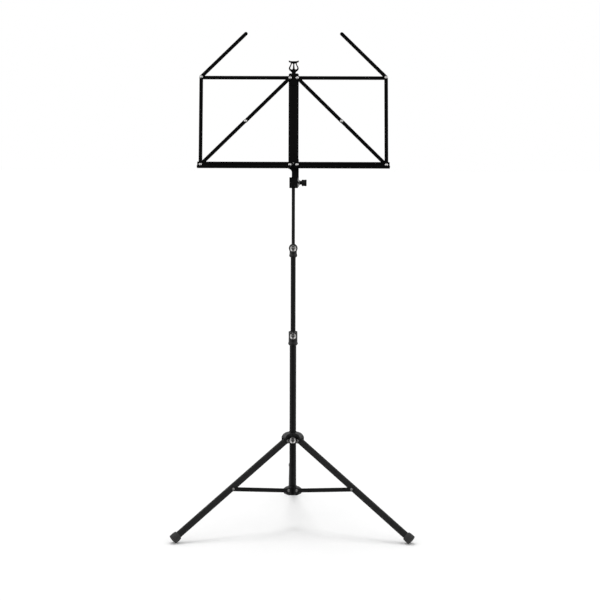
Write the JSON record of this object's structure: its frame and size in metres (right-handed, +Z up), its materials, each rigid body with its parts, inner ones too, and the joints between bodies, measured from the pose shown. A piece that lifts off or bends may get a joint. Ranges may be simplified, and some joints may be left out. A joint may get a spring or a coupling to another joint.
{
  "type": "folding music stand",
  "caption": "Folding music stand: black tubular tripod, telescoping column with thumb-screw clamps, and a riveted strip desk that tilts and folds flat.",
  "frame": {"origin": "on the floor, at the middle of the stand's footprint box; the column's axis stands 78.31 mm to the front of it, at y = -0.07831 m", "axes": "+Z up along the column, -Y towards the musician, +X to the musician's right"},
  "size_m": [0.573, 0.4992, 1.1945],
  "materials": {
    "black_paint": "satin black powder coat over steel",
    "black_plastic": "satin black moulded plastic",
    "bright_metal": "bright nickel plating",
    "dark_metal": "blackened steel",
    "foot_rubber": "dark grey matt rubber",
    "bush_plastic": "natural moulded plastic"
  },
  "bodies": {
    "base": {"lower_tube": "black_paint", "base_hub": "black_plastic", "hub_rivet_right": "dark_metal", "hub_rivet_left": "dark_metal", "hub_rivet_rear": "dark_metal", "lower_clamp": "black_plastic"},
    "lower_screw": {"lower_clamp_screw": "bright_metal"},
    "collar": {"leg_collar": "black_plastic", "leg_pivot_pin_right": "dark_metal", "leg_pivot_pin_left": "dark_metal", "leg_pivot_pin_rear": "dark_metal"},
    "collar_screw": {"leg_collar_screw": "bright_metal"},
    "middle": {"middle_tube": "black_paint", "middle_tube_bush": "bush_plastic", "upper_clamp": "black_plastic"},
    "upper_screw": {"upper_clamp_screw": "bright_metal"},
    "rod_carriage": {"top_rod_bush": "bush_plastic"},
    "rod": {"top_rod": "black_paint", "tilt_block": "black_plastic"},
    "tilt_knob": {"tilt_knob": "black_plastic", "tilt_washer": "bright_metal"},
    "desk": {"center_plate": "black_paint", "lyre_finial": "black_paint", "neck_bracket": "black_paint", "neck_rivet": "dark_metal", "rivet_top_right": "bright_metal", "rivet_top_left": "bright_metal", "rivet_bottom_right": "bright_metal", "rivet_bottom_left": "bright_metal"},
    "leg_right": {"leg_right": "black_paint", "foot_right": "foot_rubber"},
    "brace_right": {"brace_right": "black_paint", "brace_rivet_right": "dark_metal"},
    "leg_left": {"leg_left": "black_paint", "foot_left": "foot_rubber"},
    "brace_left": {"brace_left": "black_paint", "brace_rivet_left": "dark_metal"},
    "leg_rear": {"leg_rear": "black_paint", "foot_rear": "foot_rubber"},
    "brace_rear": {"brace_rear": "black_paint", "brace_rivet_rear": "dark_metal"},
    "rail_right": {"rail_right": "black_paint", "rivet_corner_low_right": "bright_metal"},
    "top_strip_right": {"top_strip_right": "black_paint", "rivet_corner_high_right": "bright_metal"},
    "side_strip_right": {"side_strip_right": "black_paint"},
    "upper_brace_right": {"upper_brace_right": "black_paint"},
    "lower_brace_right": {"lower_brace_right": "black_paint", "rivet_middle_right": "bright_metal"},
    "page_holder_right": {"page_holder_right": "black_paint"},
    "rail_left": {"rail_left": "black_paint", "rivet_corner_low_left": "bright_metal"},
    "top_strip_left": {"top_strip_left": "black_paint", "rivet_corner_high_left": "bright_metal"},
    "side_strip_left": {"side_strip_left": "black_paint"},
    "upper_brace_left": {"upper_brace_left": "black_paint"},
    "lower_brace_left": {"lower_brace_left": "black_paint", "rivet_middle_left": "bright_metal"},
    "page_holder_left": {"page_holder_left": "black_paint"}
  },
  "joints": [
    {"name": "collar_slide", "type": "slide", "parent": "base", "child": "collar", "axis": [0, 0, 1], "range_m": [0, 0.2089]},
    {"name": "collar_screw_turn", "type": "hinge", "parent": "collar", "child": "collar_screw", "pos_m": [0, -0.09831, 0.2164], "axis": [0, -1, 0], "range_deg": [0, 360]},
    {"name": "lower_clamp_screw_turn", "type": "hinge", "parent": "base", "child": "lower_screw", "pos_m": [0, -0.09831, 0.4697], "axis": [0, -1, 0], "range_deg": [0, 360]},
    {"name": "upper_clamp_screw_turn", "type": "hinge", "parent": "middle", "child": "upper_screw", "pos_m": [0, -0.09831, 0.6802], "axis": [0, -1, 0], "range_deg": [0, 360]},
    {"name": "middle_slide", "type": "slide", "parent": "base", "child": "middle", "axis": [0, 0, 1], "range_m": [-0.175, 0.12]},
    {"name": "rod_slide", "type": "slide", "parent": "middle", "child": "rod_carriage", "axis": [0, 0, 1], "range_m": [-0.13, 0.11]},
    {"name": "rod_swivel", "type": "hinge", "parent": "rod_carriage", "child": "rod", "pos_m": [0, -0.07831, 0.65], "axis": [0, 0, 1], "continuous": true},
    {"name": "desk_tilt", "type": "hinge", "parent": "rod", "child": "desk", "pos_m": [0, -0.07831, 0.8362], "axis": [-1, 0, 0], "range_deg": [-30, 70]},
    {"name": "tilt_knob_turn", "type": "hinge", "parent": "rod", "child": "tilt_knob", "pos_m": [0.02, -0.07831, 0.8362], "axis": [1, 0, 0], "range_deg": [0, 360]},
    {"name": "leg_right_fold", "type": "hinge", "parent": "collar", "child": "leg_right", "pos_m": [0.01645, -0.08781, 0.2133], "axis": [0.5, 0.866, 0], "range_deg": [0, 52]},
    {"name": "brace_right_fold", "type": "hinge", "parent": "base", "child": "brace_right", "pos_m": [0.0149, -0.08691, 0.091], "axis": [-0.5, -0.866, 0], "range_deg": [0, 76.62]},
    {"name": "leg_left_fold", "type": "hinge", "parent": "collar", "child": "leg_left", "pos_m": [-0.01645, -0.08781, 0.2133], "axis": [0.5, -0.866, 0], "range_deg": [0, 52]},
    {"name": "brace_left_fold", "type": "hinge", "parent": "base", "child": "brace_left", "pos_m": [-0.0149, -0.08691, 0.091], "axis": [-0.5, 0.866, 0], "range_deg": [0, 76.62]},
    {"name": "leg_rear_fold", "type": "hinge", "parent": "collar", "child": "leg_rear", "pos_m": [0, -0.05931, 0.2133], "axis": [-1, 0, 0], "range_deg": [0, 52]},
    {"name": "brace_rear_fold", "type": "hinge", "parent": "base", "child": "brace_rear", "pos_m": [0, -0.06111, 0.091], "axis": [1, 0, 0], "range_deg": [0, 76.62]},
    {"name": "rail_right_fold", "type": "hinge", "parent": "desk", "child": "rail_right", "pos_m": [0.0085, -0.09183, 0.87843], "axis": [0, -0.9781, 0.2079], "range_deg": [0, 90]},
    {"name": "top_strip_right_fold", "type": "hinge", "parent": "desk", "child": "top_strip_right", "pos_m": [0.0085, -0.04775, 1.0858], "axis": [0, -0.9781, 0.2079], "range_deg": [0, 90.1]},
    {"name": "side_strip_right_fold", "type": "hinge", "parent": "rail_right", "child": "side_strip_right", "pos_m": [0.2205, -0.09183, 0.87843], "axis": [0, 0.9781, -0.2079], "range_deg": [0, 90.1]},
    {"name": "upper_brace_right_fold", "type": "hinge", "parent": "desk", "child": "upper_brace_right", "pos_m": [0.0085, -0.04775, 1.0858], "axis": [0, 0.9781, -0.2079], "range_deg": [0, 45.1]},
    {"name": "lower_brace_right_fold", "type": "hinge", "parent": "rail_right", "child": "lower_brace_right", "pos_m": [0.2205, -0.09183, 0.87843], "axis": [0, -0.9781, 0.2079], "range_deg": [0, 45.1]},
    {"name": "page_holder_right_swing", "type": "hinge", "parent": "top_strip_right", "child": "page_holder_right", "pos_m": [0.2205, -0.04775, 1.0858], "axis": [0, -0.9781, 0.2079], "range_deg": [-90, 135]},
    {"name": "rail_left_fold", "type": "hinge", "parent": "desk", "child": "rail_left", "pos_m": [-0.0085, -0.09183, 0.87843], "axis": [0, 0.9781, -0.2079], "range_deg": [0, 90]},
    {"name": "top_strip_left_fold", "type": "hinge", "parent": "desk", "child": "top_strip_left", "pos_m": [-0.0085, -0.04775, 1.0858], "axis": [0, 0.9781, -0.2079], "range_deg": [0, 90.1]},
    {"name": "side_strip_left_fold", "type": "hinge", "parent": "rail_left", "child": "side_strip_left", "pos_m": [-0.2205, -0.09183, 0.87843], "axis": [0, -0.9781, 0.2079], "range_deg": [0, 90.1]},
    {"name": "upper_brace_left_fold", "type": "hinge", "parent": "desk", "child": "upper_brace_left", "pos_m": [-0.0085, -0.04775, 1.0858], "axis": [0, -0.9781, 0.2079], "range_deg": [0, 45.1]},
    {"name": "lower_brace_left_fold", "type": "hinge", "parent": "rail_left", "child": "lower_brace_left", "pos_m": [-0.2205, -0.09183, 0.87843], "axis": [0, 0.9781, -0.2079], "range_deg": [0, 45.1]},
    {"name": "page_holder_left_swing", "type": "hinge", "parent": "top_strip_left", "child": "page_holder_left", "pos_m": [-0.2205, -0.04775, 1.0858], "axis": [0, 0.9781, -0.2079], "range_deg": [-90, 135]}
  ],
  "couplings": [
    {"joint": "leg_right_fold", "follows": "collar_slide", "rad_per_m": 4.3362},
    {"joint": "brace_right_fold", "follows": "collar_slide", "rad_per_m": 6.3935},
    {"joint": "leg_left_fold", "follows": "collar_slide", "rad_per_m": 4.3362},
    {"joint": "brace_left_fold", "follows": "collar_slide", "rad_per_m": 6.3935},
    {"joint": "leg_rear_fold", "follows": "collar_slide", "rad_per_m": 4.3362},
    {"joint": "brace_rear_fold", "follows": "collar_slide", "rad_per_m": 6.3935},
    {"joint": "top_strip_right_fold", "follows": "rail_right_fold", "ratio": 1},
    {"joint": "side_strip_right_fold", "follows": "rail_right_fold", "ratio": 1},
    {"joint": "upper_brace_right_fold", "follows": "rail_right_fold", "ratio": 0.5},
    {"joint": "lower_brace_right_fold", "follows": "rail_right_fold", "ratio": 0.5},
    {"joint": "top_strip_left_fold", "follows": "rail_left_fold", "ratio": 1},
    {"joint": "side_strip_left_fold", "follows": "rail_left_fold", "ratio": 1},
    {"joint": "upper_brace_left_fold", "follows": "rail_left_fold", "ratio": 0.5},
    {"joint": "lower_brace_left_fold", "follows": "rail_left_fold", "ratio": 0.5}
  ]
}
